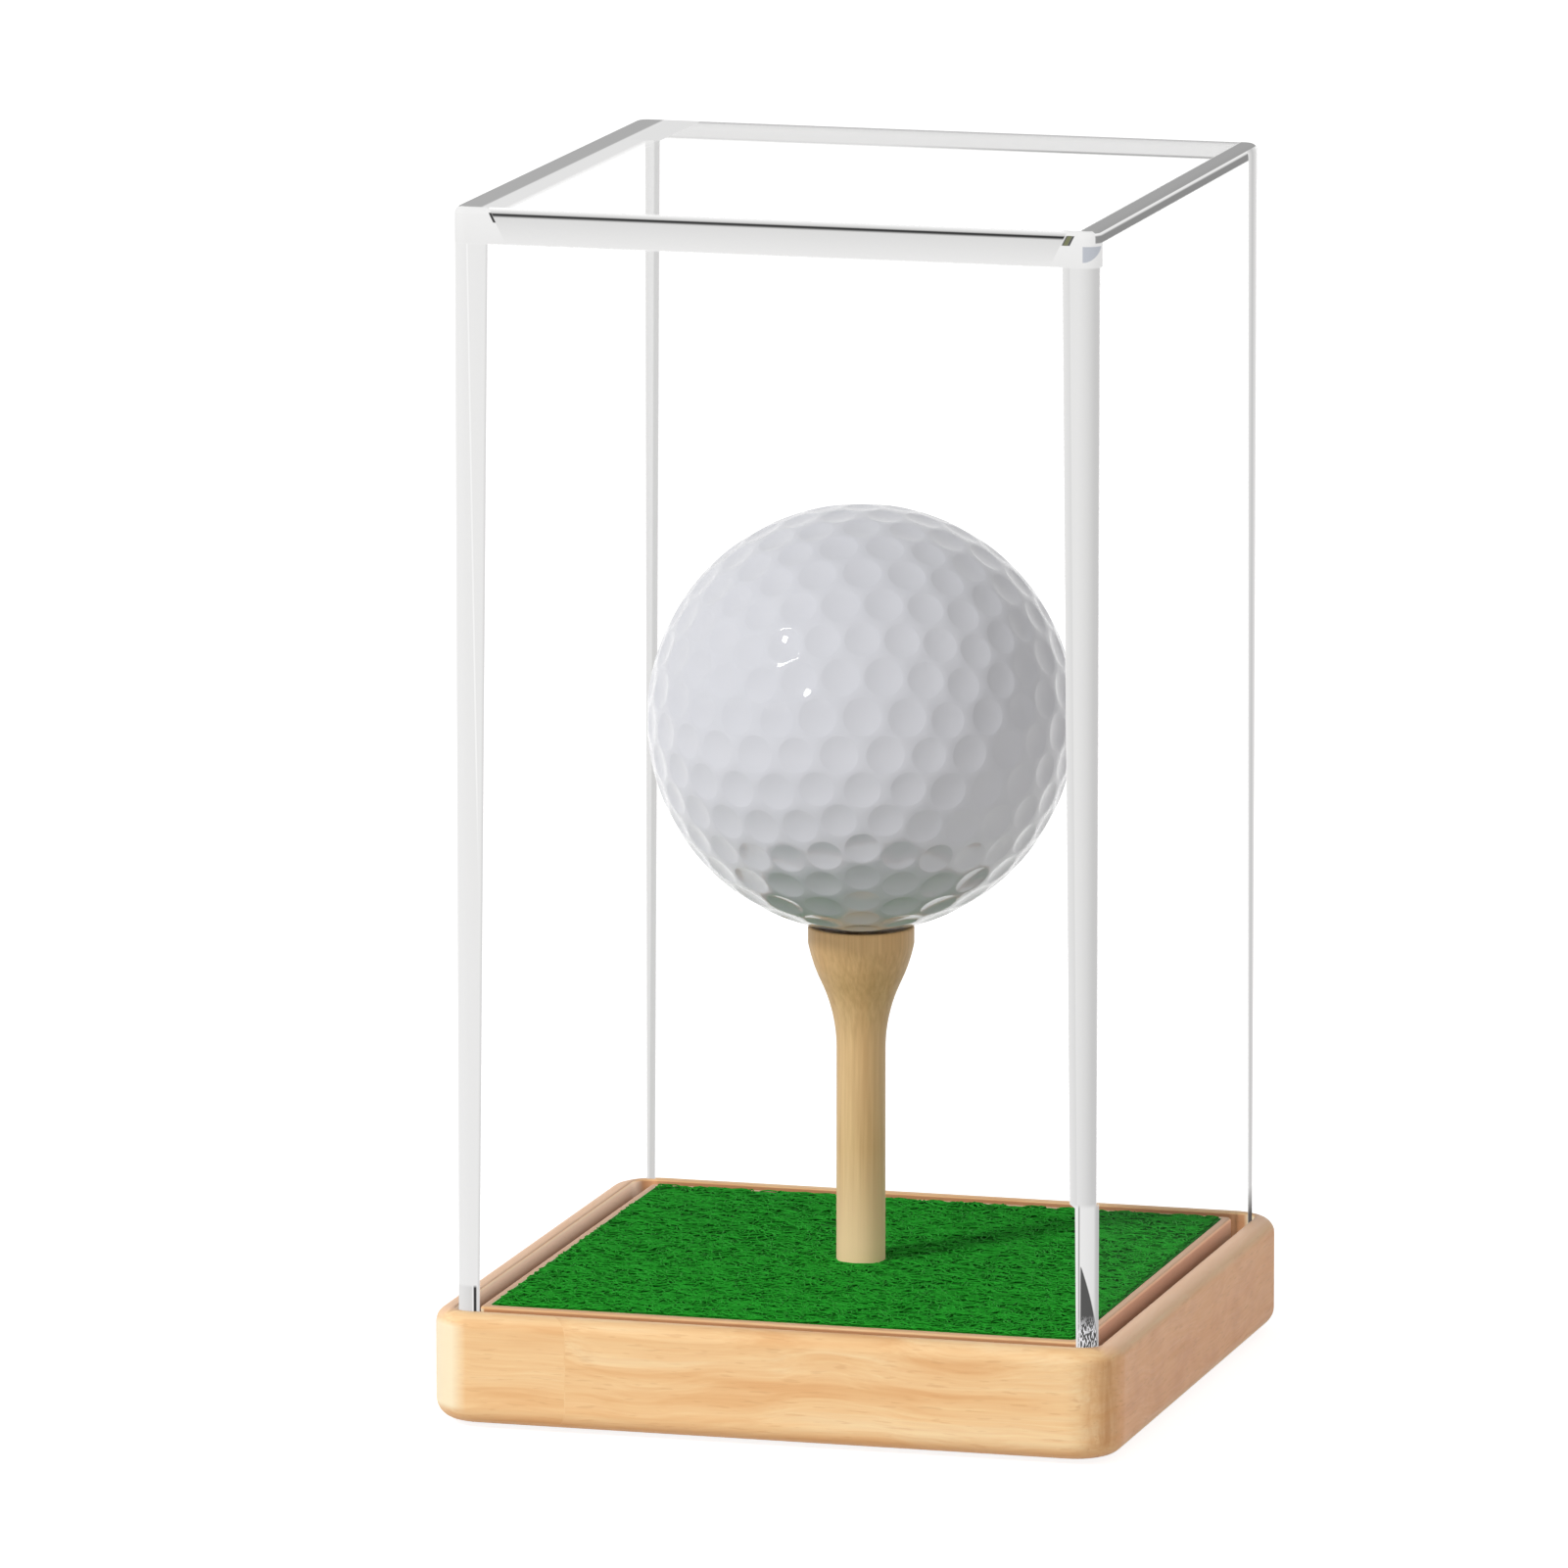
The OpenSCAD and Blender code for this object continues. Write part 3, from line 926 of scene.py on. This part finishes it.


# Painted light and shade of the clear cover: the bands that stand in for what its edges refract and reflect,
# given as rows of a distance in mm, a grey level and how solid it is.
edgeSet = {
    "reach": 8,               # mm that a row of bands may span
    "glow": 0.75,             # share of a band's colour that it gives off as painted light, by emission
    "paintedSheen": 0.06,             # painted reflection: how solid the white of the flat panels shows where they are seen from very low
    "skin": 0.6,              # mm below the surface that still count as the outside
    "leftPost": [(0.05, 250, 0), (0.1, 245, 1), (0.5, 235, 1), (8, 230, 1)],
    "rightPost": [(0.05, 240, 0), (0.15, 210, 1), (0.5, 210, 1), (1.0, 220, 1), (2.0, 230, 1), (8, 230, 1)],
    # The inner ends of the posts, from 1 mm before the inside of the wall.
    "leftEnd": [(1.5, 230, 0), (1.6, 230, 1), (1.75, 210, 1), (1.9, 240, 1)],
    "rightEnd": [(0.9, 230, 0), (1.0, 220, 1), (1.6, 230, 1), (1.75, 240, 1)],
    "postPast": (0.7, 0.82),  # mm that a right and a left post show past the inside of their wall
    "footLess": 0.53,         # mm less than that at the foot of a right post
    "leftFoot": [(0.2, 230, 1), (1.7, 215, 1), (1.85, 240, 1), (1.95, 60, 1), (2.15, 60, 1), (2.25, 220, 1)],
    "leftFootTop": 2.4,       # heights above the base, mm
    "rightFoot": [(0.1, 200, 1), (0.3, 235, 1), (1.5, 235, 1), (1.6, 150, 1), (1.75, 240, 1)],
    "rightFootTop": 13.9,
    "wedge": [(0.1, 90, 1), (1.4, 90, 1), (1.6, 250, 0)],
    "wedgeTop": 7.9,
    "wedgeFoot": -0.9,
    "wedgeCurve": (2.2, 1.35),            # power of its curved side, and mm across
    "bitsTop": 2.3,           # the lowest part of the wedge is broken up by bright bits
    "bitsScale": (7600, 7600, 2400),
    "bitColour": srgb(232, 232, 236),
    "leftLine": [(1.6, 245, 0), (1.65, 245, 1), (1.75, 245, 1), (1.8, 245, 0)],
    "leftLineLean": 0.0147,   # how the bright line in the left post leans away from the corner
    "leftLineEnds": (49, 100.7),
    "farPost": [(0.5, 250, 0), (0.7, 240, 1), (1.2, 210, 1), (1.7, 235, 1), (1.9, 250, 0)],
    "farDusk": (3.3, 0.5),    # heights above the base between which the far post turns dark
    "duskColour": srgb(96, 92, 90),
    "frontTop": [
        (0, 255, 0), (0.2, 245, 1), (0.5, 200, 1), (0.6, 50, 1), (0.75, 70, 1), (0.95, 220, 1),
        (3.5, 235, 1), (3.7, 250, 0),
    ],
    "frontTopCorner": [(0, 255, 0), (0.2, 240, 1), (3.5, 235, 1), (3.7, 240, 0)],
    # mm from the left and right corner where the dark line of the front edge ends.
    "strokeStarts": (3.8, 3.1),
    "sideTop": [(0, 250, 1), (0.4, 250, 1), (0.55, 150, 1), (1.15, 150, 1), (1.3, 250, 0)],
    "topLeft": [(0, 180, 1), (2.9, 180, 1), (3.2, 235, 1), (5.3, 235, 1), (6.9, 250, 0)],
    "topRight": [(0, 170, 1), (1.8, 170, 1), (2.05, 250, 0)],
    "topBackLine": [(0.4, 180, 1), (0.6, 180, 1), (0.8, 225, 0)],
    "topPast": (0.06, 0.21),  # mm that the look of the top reaches down over its left and right edge
    # A pale band on the left of the top, towards the back: from and to in mm from the side, and length.
    "topBackBand": (3.6, 6.9, 15.5),
    "bandColour": srgb(233, 233, 233),
    # The line along the side stops short of the left and the right corner, and more at the far one.
    "sideShort": (1.6, 0.4),
    "sideShortFar": 4.9,
    # Slanting strokes at the two ends of the dark line of the front edge.
    "leftStrokes": [(3.5, 230, 0), (3.6, 60, 1), (3.8, 60, 1), (3.9, 220, 0)],
    "rightStrokes": [(2.1, 230, 0), (2.2, 60, 1), (2.4, 120, 1), (2.8, 120, 1), (2.9, 60, 1), (3.1, 220, 0)],
    "strokeLean": 0.5,
    "strokeEnds": (0.5, 1.45),            # how far below the top the strokes run
    "olive": (2.4, 2.84),                 # where the right strokes are olive
    "oliveColour": srgb(124, 127, 98),
    # A quarter of a disc by the right corner: mm in from the side, mm down, radius.
    "patch": (1.6, 1.5, 1.55),
    "patchColour": srgb(190, 194, 202),
    # Seen through from inside.
    "backPost": [(1.3, 230, 1), (1.45, 210, 1), (1.9, 210, 1), (2.05, 250, 0)],
    "backPostFrom": (0.55, 1.15),         # its rows start so many walls in, less so many mm
    "backPostStart": 0.9,
    "backPostFoot": 0.1,      # height above the base
    # mm across, between which the line under the far top edge fades.
    "backLineFades": (12, -6),
    "fadedColour": srgb(229, 229, 229),
    "backTop": [(0, 200, 0), (0.1, 190, 1), (0.35, 230, 1), (1.65, 230, 1), (1.85, 150, 1), (2.1, 250, 0)],
}


def addBands(tree, distance, rows):
    # Draws rows of bands by a distance in metres. Gives a colour and how solid it is.
    node = tree.nodes.new("ShaderNodeValToRGB")
    elements = node.color_ramp.elements
    while len(elements) < len(rows):
        elements.new(1)
    for element, (place, level, solid) in zip(elements, rows):
        element.position = place / edgeSet["reach"]
        element.color = (*srgb(level, level, level)[:3], solid)
    tree.links.new(addMath(tree, "DIVIDE", distance, edgeSet["reach"] * mm), node.inputs[0])
    return node.outputs[0], node.outputs[1]


def coverOver(tree, under, over, mask=1.0):
    # Lays one colour with its solidness over another, where the mask says.
    solid = times(tree, over[1], mask)
    return addMix(tree, solid, under[0], over[0]), addMath(tree, "MAXIMUM", under[1], solid)


def either(tree, factor, first, second):
    # The first of two looks where the factor is 0, and the second where it is 1.
    rest = addMath(tree, "SUBTRACT", 1.0, factor)
    solid = addMath(tree, "ADD", times(tree, first[1], rest), times(tree, second[1], factor))
    return addMix(tree, factor, first[0], second[0]), solid


def makeAcrylic(setup, edges):
    # Clear acrylic: the flat panels show what is behind them, and the edges carry painted light and shade in
    # bands that glow.
    material, tree, shader = newMaterial("clearAcrylic")
    low, high = span("clear_cover")
    x, y, z = objectAxes(tree)
    panel = (1, 1, 1, 1), 0.0

    def band(distance, name):
        return addBands(tree, distance, edges[name])

    def product(*masks):
        return times(tree, *masks)

    def minus(first, second):
        return addMath(tree, "SUBTRACT", first, second)

    def opposite(mask):
        return minus(1.0, mask)

    def over(distance, level, soft=0.04):
        # 1 where the distance is over a level in mm.
        return addRange(tree, distance, (level - soft) * mm, (level + soft) * mm)

    def between(distance, start, end):
        return product(over(distance, start), opposite(over(distance, end)))

    def choose(mask, lengths):
        # The first of two lengths in mm where the mask is 0, and the second where it is 1.
        return addRange(tree, mask, 0, 1, *(length * mm for length in lengths))

    inX = minus(high.x * mm, addMath(tree, "ABSOLUTE", x))
    inY = minus(high.y * mm, addMath(tree, "ABSOLUTE", y))
    inZ = minus(high.z * mm, z)
    above = minus(z, span("wood_base")[1].z * mm)
    slope = math.tan(math.radians(setup["draft"]))
    wall = addMath(tree, "MULTIPLY_ADD", z, slope, (setup["wallOpen"] - low.z * slope) * mm)
    pastWall = minus(inX, wall)
    depth = addMath(tree, "MINIMUM", addMath(tree, "MINIMUM", inX, inY), inZ)
    outside = opposite(over(depth, edges["skin"]))
    onSide = over(minus(inY, inX), 0, 0.1)       # the faces towards -X and +X
    onEnd = opposite(onSide)
    atCorner = addMath(tree, "MAXIMUM", onEnd, opposite(over(inY, setup["corner"])))
    rightHalf = over(x, 0)
    # The flat top, and on the left and right also the upper part of its rounded edge.
    topEdge = product(onSide, choose(rightHalf, edges["topPast"]))
    onTop = opposite(over(minus(inZ, topEdge), 0.05, 0.02))
    # Seen from the front or the back, x and y have the same sign at a left corner only.
    leftCorner = addRange(tree, product(x, y), -mm * mm, mm * mm)
    rightCorner = opposite(leftCorner)

    # The posts at the upright corners, as the front and the back show them.
    post = either(tree, leftCorner, band(inX, "rightPost"), band(inX, "leftPost"))
    fromEnd = addMath(tree, "ADD", pastWall, mm)
    inner = either(tree, leftCorner, band(fromEnd, "rightEnd"), band(fromEnd, "leftEnd"))
    post = coverOver(tree, post, inner)
    lineFoot, lineTop = edges["leftLineEnds"]
    leaning = addMath(tree, "MULTIPLY_ADD", minus(lineTop * mm, above), -edges["leftLineLean"], inX)
    post = coverOver(tree, post, band(leaning, "leftLine"), product(leftCorner, over(above, lineFoot, 6)))
    rightFoot = product(rightCorner, opposite(over(above, edges["rightFootTop"], 0.2)))
    leftFoot = product(leftCorner, opposite(over(above, edges["leftFootTop"], 0.15)))
    post = coverOver(tree, post, band(inX, "rightFoot"), rightFoot)
    post = coverOver(tree, post, band(inX, "leftFoot"), leftFoot)
    # A painted dark wedge shows at the foot of a right post.
    power, across = edges["wedgeCurve"]
    share = addRange(tree, above, edges["wedgeFoot"] * mm, edges["wedgeTop"] * mm)
    curve = product(addMath(tree, "POWER", share, power), across * mm)
    underTop = opposite(over(above, edges["wedgeTop"], 0.1))
    wedge = product(over(minus(inX, curve), 0.03), underTop, rightCorner)
    post = coverOver(tree, post, band(inX, "wedge"), wedge)
    bits = addNoise(tree, stretched(tree, objectPlace(tree), edges["bitsScale"]), 1.0, 1.0)
    bits = product(addRange(tree, bits, 0.49, 0.55), wedge, opposite(over(above, edges["bitsTop"], 0.8)))
    post = coverOver(tree, post, (edges["bitColour"], 1.0), bits)
    ends = choose(leftCorner, edges["postPast"])
    ends = addMath(tree, "MULTIPLY_ADD", rightFoot, -edges["footLess"] * mm, ends)
    post = post[0], product(post[1], opposite(over(minus(pastWall, ends), 0)))
    look = coverOver(tree, panel, post, product(atCorner, outside))

    # The far post through the side, and the bands along the top of the front.
    farPost = band(product(addMath(tree, "DIVIDE", inY, wall), mm), "farPost")
    duskTop, duskFoot = edges["farDusk"]
    dusk = addRange(tree, above, duskTop * mm, duskFoot * mm)
    farPost = addMix(tree, dusk, farPost[0], edges["duskColour"]), farPost[1]
    look = coverOver(tree, look, farPost, product(onSide, leftCorner, outside))
    slanted = addMath(tree, "MULTIPLY_ADD", inZ, -edges["strokeLean"], inX)
    pastStrokes = over(minus(slanted, choose(rightCorner, edges["strokeStarts"])), 0)
    rim = either(tree, pastStrokes, band(inZ, "frontTopCorner"), band(inZ, "frontTop"))
    look = coverOver(tree, look, rim, product(atCorner, outside))

    strokes = either(tree, rightCorner, band(slanted, "leftStrokes"), band(slanted, "rightStrokes"))
    strokeZone = product(between(inZ, *edges["strokeEnds"]), onEnd, outside)
    look = coverOver(tree, look, strokes, strokeZone)
    olive = product(between(slanted, *edges["olive"]), rightCorner, strokeZone)
    look = coverOver(tree, look, (edges["oliveColour"], 1.0), olive)
    side, down, radius = edges["patch"]
    fromSide = minus(side * mm, inX)
    fromTop = minus(inZ, down * mm)
    squares = addMath(tree, "MULTIPLY_ADD", fromSide, fromSide, product(fromTop, fromTop))
    inDisc = opposite(over(addMath(tree, "SQRT", squares), radius))
    patch = product(over(fromSide, 0), over(fromTop, 0), inDisc, rightCorner, atCorner, outside)
    look = coverOver(tree, look, (edges["patchColour"], 1.0), patch)

    # The line along the side, and the face of the top.
    short = choose(rightHalf, edges["sideShort"])
    farRight = product(rightHalf, over(y, 0))
    short = addMath(tree, "MULTIPLY_ADD", farRight, edges["sideShortFar"] * mm, short)
    line = product(onSide, outside, over(minus(inY, short), 0))
    look = coverOver(tree, look, band(inZ, "sideTop"), line)
    top = either(tree, rightHalf, band(inX, "topLeft"), band(inX, "topRight"))
    bandFrom, bandTo, bandLength = edges["topBackBand"]
    backLine = product(over(y, 0), opposite(rightHalf), opposite(over(inX, bandTo)))
    backBand = product(backLine, over(inX, bandFrom), opposite(over(inY, bandLength)))
    top = coverOver(tree, coverOver(tree, panel, top), (edges["bandColour"], 1.0), backBand)
    top = coverOver(tree, top, band(inY, "topBackLine"), backLine)
    look = either(tree, onTop, look, top)

    # The far corner and the far top edge, seen from inside.
    wallsIn, less = edges["backPostFrom"]
    fromPost = minus(inX, addMath(tree, "MULTIPLY_ADD", wall, wallsIn, -less * mm))
    farCorner = product(rightCorner, over(inX, edges["backPostStart"], 0.06), onEnd, outside)
    farCorner = product(farCorner, over(above, edges["backPostFoot"]))
    inner = coverOver(tree, panel, band(fromPost, "backPost"), farCorner)
    fadeFrom, fadeTo = edges["backLineFades"]
    faded = product(addRange(tree, x, fadeFrom * mm, fadeTo * mm, 0.0, 0.8), over(inZ, 1.0))
    backTop = band(inZ, "backTop")
    backTop = addMix(tree, faded, backTop[0], edges["fadedColour"]), backTop[1]
    inner = coverOver(tree, inner, backTop, product(onEnd, outside))
    behind = tree.nodes.new("ShaderNodeNewGeometry").outputs["Backfacing"]
    colour, solid = either(tree, behind, look, inner)

    # Painted light: the bands give off a share of their colour by emission, and take the rest from the
    # lamps.
    share = (1 - edges["glow"],) * 3 + (1,)
    tree.links.new(addMix(tree, 1.0, colour, share, "MULTIPLY"), shader.inputs["Base Color"])
    tree.links.new(colour, shader.inputs["Emission Color"])
    shader.inputs["Emission Strength"].default_value = edges["glow"]
    shader.inputs["Roughness"].default_value = 0.08
    shader.inputs["Specular IOR Level"].default_value = 0
    # Painted reflection: the flat panels turn white where they are seen from very low.
    facing = tree.nodes.new("ShaderNodeLayerWeight").outputs["Facing"]
    paintedSheen = product(addMath(tree, "POWER", facing, 10.0), edges["paintedSheen"])
    solid = addMath(tree, "MAXIMUM", solid, paintedSheen)
    path = tree.nodes.new("ShaderNodeLightPath")
    see = addMath(tree, "MAXIMUM", path.outputs["Is Shadow Ray"], opposite(solid))
    clear = tree.nodes.new("ShaderNodeBsdfTransparent")
    mix = tree.nodes.new("ShaderNodeMixShader")
    tree.links.new(see, mix.inputs[0])
    tree.links.new(shader.outputs[0], mix.inputs[1])
    tree.links.new(clear.outputs[0], mix.inputs[2])
    tree.links.new(mix.outputs[0], tree.nodes["Material Output"].inputs[0])
    return material


def makePlain(name, first, second, scale, roughness):
    # Rubber, tape and other hidden stuff: two close colours in a fine cloud.
    material, tree, shader = newMaterial(name)
    cloud = addRange(tree, addNoise(tree, objectPlace(tree), scale, 3.0), 0.3, 0.7)
    tree.links.new(addMix(tree, cloud, first, second), shader.inputs["Base Color"])
    tree.links.new(addBump(tree, cloud, 0.2, 0.03), shader.inputs["Normal"])
    shader.inputs["Roughness"].default_value = roughness
    return material


beech = makeBeech(beechSet)
turf = makeTurf(pileSet)
makeWoodBase(baseSet, beech)
makePads(padSet, makePlain("padRubber", srgb(52, 52, 52), srgb(66, 66, 65), 2500, 0.8))
print("base made")
makeTurfSlab(turfSet, turf)
makeFibres(turfSet, turf)
print("turf made")
makeTee(teeSet, makeTeeWood(teeWoodSet))
makeBall(ballSet, makeBallWhite())
makeCover(coverSet, makeAcrylic(coverSet, edgeSet))
print("tee, ball and cover made")

carried = {
    "turf_tape": makePlain("tape", srgb(226, 222, 208), srgb(214, 210, 196), 1500, 0.6),
    "turf_backing": makePlain("backing", srgb(18, 66, 26), srgb(26, 82, 34), 2000, 0.9),
    "ball_core": makePlain("ballCore", srgb(196, 160, 60), srgb(206, 172, 74), 400, 0.7),
}
for name, material in carried.items():
    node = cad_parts[name]
    node.data.materials.clear()
    node.data.materials.append(material)
